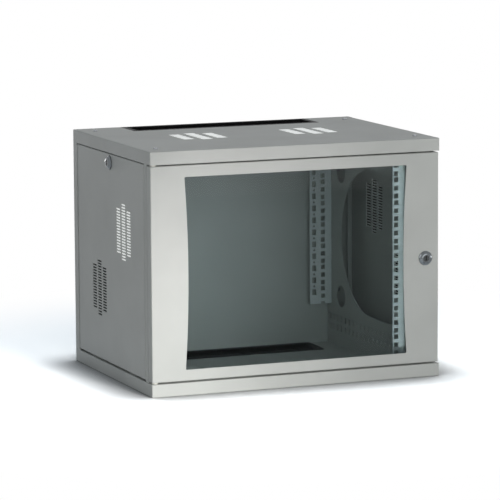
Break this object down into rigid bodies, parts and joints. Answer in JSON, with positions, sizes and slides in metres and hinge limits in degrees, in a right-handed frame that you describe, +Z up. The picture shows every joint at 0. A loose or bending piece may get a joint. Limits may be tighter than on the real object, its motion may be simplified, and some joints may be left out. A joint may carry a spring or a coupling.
{
  "type": "wall mount network cabinet",
  "caption": "Small wall-hung steel cabinet for 19 inch network equipment, with a framed glass door, lift-off locking side panels, rack rails and brush cable entries.",
  "frame": {"origin": "middle of the base, under the centre of the outer box, at floor level", "axes": "+X to the right seen from the front, the door faces -Y and the wall is at +Y, +Z up"},
  "size_m": [0.6106, 0.454, 0.4726],
  "materials": {
    "grey_paint": "fine satin powder coat, light grey",
    "rail_paint": "satin coat, pale cool grey",
    "zinc_plated": "bright zinc plate",
    "black_plastic": "moulded, fine matt grain",
    "black_bristle": "nylon bristle, matt",
    "filter_fleece": "white polyester fleece",
    "rubber": "matt",
    "foam_tape": "closed-cell foam, matt",
    "clear_glass": "clear toughened glass, very faint green tint",
    "nylon": "natural white, satin",
    "nickel_plated": "bright nickel plate on die-cast zinc",
    "lock_plug": "turned face, satin nickel"
  },
  "bodies": {
    "cabinet": {"roof_panel": "grey_paint", "floor_panel": "grey_paint", "back_panel": "grey_paint", "left_side_frame": "grey_paint", "right_side_frame": "grey_paint", "left_front_rail": "rail_paint", "right_front_rail": "rail_paint", "left_rear_rail": "rail_paint", "right_rear_rail": "rail_paint", "rail_bolts": "zinc_plated", "rail_nuts": "zinc_plated", "roof_screws": "zinc_plated", "roof_nuts": "zinc_plated", "floor_screws": "zinc_plated", "back_screws": "zinc_plated", "roof_brush_frame": "black_plastic", "roof_brush_combs": "black_bristle", "floor_brush_frame": "black_plastic", "floor_brush_combs": "black_bristle", "roof_filter_pads": "filter_fleece", "upper_hinge_pin": "zinc_plated", "lower_hinge_pin": "zinc_plated", "door_bumpers": "rubber", "earthing_stud": "zinc_plated", "earthing_nuts": "zinc_plated"},
    "door": {"door_frame": "grey_paint", "door_glass": "clear_glass", "glass_tape": "foam_tape", "upper_hinge_bush": "nylon", "lower_hinge_bush": "nylon", "door_lock_body": "nickel_plated", "door_lock_nut": "nickel_plated"},
    "door_lock": {"door_lock_plug": "lock_plug", "door_lock_cam": "zinc_plated", "door_cam_screw": "zinc_plated"},
    "left_panel": {"left_side_panel": "grey_paint", "left_filter_pad": "filter_fleece", "left_lock_body": "nickel_plated", "left_lock_nut": "nickel_plated"},
    "left_lock": {"left_lock_plug": "lock_plug", "left_lock_cam": "zinc_plated", "left_cam_screw": "zinc_plated"},
    "right_panel": {"right_side_panel": "grey_paint", "right_lock_body": "nickel_plated", "right_lock_nut": "nickel_plated"},
    "right_lock": {"right_lock_plug": "lock_plug", "right_lock_cam": "zinc_plated", "right_cam_screw": "zinc_plated"}
  },
  "joints": [
    {"name": "door_hinge", "type": "hinge", "parent": "cabinet", "child": "door", "pos_m": [-0.2906, -0.2115, 0], "axis": [0, 0, -1], "range_deg": [0, 180]},
    {"name": "door_lock_turn", "type": "hinge", "parent": "door", "child": "door_lock", "pos_m": [0.2704, -0.221, 0.235], "axis": [0, 1, 0], "range_deg": [0, 90]},
    {"name": "left_panel_tilt", "type": "hinge", "parent": "cabinet", "child": "left_panel", "pos_m": [-0.2993, 0.01, 0.027], "axis": [0, -1, 0], "range_deg": [0, 20]},
    {"name": "right_panel_tilt", "type": "hinge", "parent": "cabinet", "child": "right_panel", "pos_m": [0.2993, 0.01, 0.027], "axis": [0, 1, 0], "range_deg": [0, 20]},
    {"name": "left_lock_turn", "type": "hinge", "parent": "left_panel", "child": "left_lock", "pos_m": [-0.2993, 0.01, 0.426], "axis": [1, 0, 0], "range_deg": [0, 90]},
    {"name": "right_lock_turn", "type": "hinge", "parent": "right_panel", "child": "right_lock", "pos_m": [0.2993, 0.01, 0.426], "axis": [-1, 0, 0], "range_deg": [0, 90]}
  ]
}
